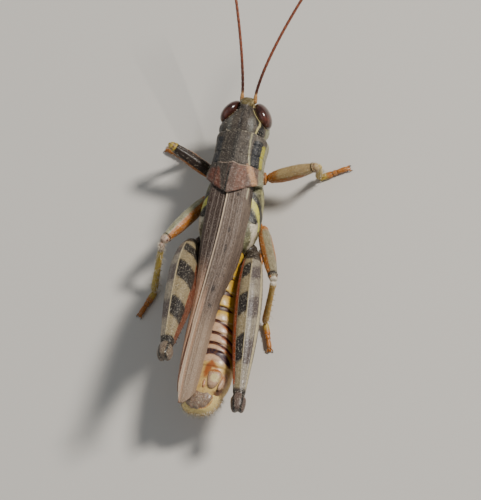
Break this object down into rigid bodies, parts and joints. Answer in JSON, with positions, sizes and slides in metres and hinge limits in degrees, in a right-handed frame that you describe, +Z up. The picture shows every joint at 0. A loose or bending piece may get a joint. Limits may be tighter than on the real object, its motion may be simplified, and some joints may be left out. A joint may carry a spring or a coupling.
{
  "type": "grasshopper",
  "caption": "Adult male short-horned grasshopper standing at life size, wings folded along its back, one hind knee raised, long thin feelers held forward.",
  "frame": {"origin": "middle of the bounding box, at floor level under the feet", "axes": "+Z up, -Y toward the head, +X toward the animal's left side"},
  "size_m": [0.0122, 0.0286, 0.0086],
  "materials": {
    "head_shell": "dark olive-brown cuticle, satin, finely pitted",
    "eye": "dark red-brown compound eye, wet gloss",
    "antenna": "copper-brown jointed feeler, satin",
    "mouthparts": "olive and dark brown cuticle, satin",
    "pronotum": "grey-brown pitted cuticle with pale shoulder lines, satin",
    "thorax_shell": "yellow-green and black side plates, satin",
    "abdomen": "yellow and cream rings banded with dark red-brown, satin",
    "tail_plates": "pale yellow end plates, satin",
    "tegmen": "leathery grey-brown veined wing, dull",
    "hind_wing": "thin clear pleated wing, slight sheen",
    "walking_leg": "olive, tan and orange cuticle, satin",
    "hind_femur": "cream and grey cuticle with black bars, orange inner face, satin",
    "hind_tibia": "red-brown spined cuticle, satin",
    "foot": "orange-brown jointed feet, satin"
  },
  "bodies": {
    "root": {"head": "head_shell", "eye_L": "eye", "eye_R": "eye", "antenna_L": "antenna", "antenna_R": "antenna", "upper_lip": "mouthparts", "mandible_L": "mouthparts", "mandible_R": "mouthparts", "palp_L": "mouthparts", "palp_R": "mouthparts", "labium": "mouthparts", "pronotum": "pronotum", "thorax": "thorax_shell", "abdomen": "abdomen", "subgenital_plate": "tail_plates", "pallium": "tail_plates", "supra_anal_plate": "tail_plates", "cercus_L": "tail_plates", "cercus_R": "tail_plates", "tegmen_R": "tegmen", "tegmen_L": "tegmen", "hind_wing_L": "hind_wing", "hind_wing_R": "hind_wing", "fore_leg_R_coxa": "walking_leg", "fore_leg_R_femur": "walking_leg", "fore_leg_R_tibia": "walking_leg", "fore_leg_R_foot": "foot", "fore_leg_L_coxa": "walking_leg", "fore_leg_L_femur": "walking_leg", "fore_leg_L_tibia": "walking_leg", "fore_leg_L_foot": "foot", "mid_leg_R_coxa": "walking_leg", "mid_leg_R_femur": "walking_leg", "mid_leg_R_tibia": "walking_leg", "mid_leg_R_foot": "foot", "mid_leg_L_coxa": "walking_leg", "mid_leg_L_femur": "walking_leg", "mid_leg_L_tibia": "walking_leg", "mid_leg_L_foot": "foot", "hind_leg_R_coxa": "walking_leg", "hind_leg_R_femur": "hind_femur", "hind_leg_R_tibia": "hind_tibia", "hind_leg_R_foot": "foot", "hind_leg_L_coxa": "walking_leg", "hind_leg_L_femur": "hind_femur", "hind_leg_L_tibia": "hind_tibia", "hind_leg_L_foot": "foot"}
  },
  "joints": []
}
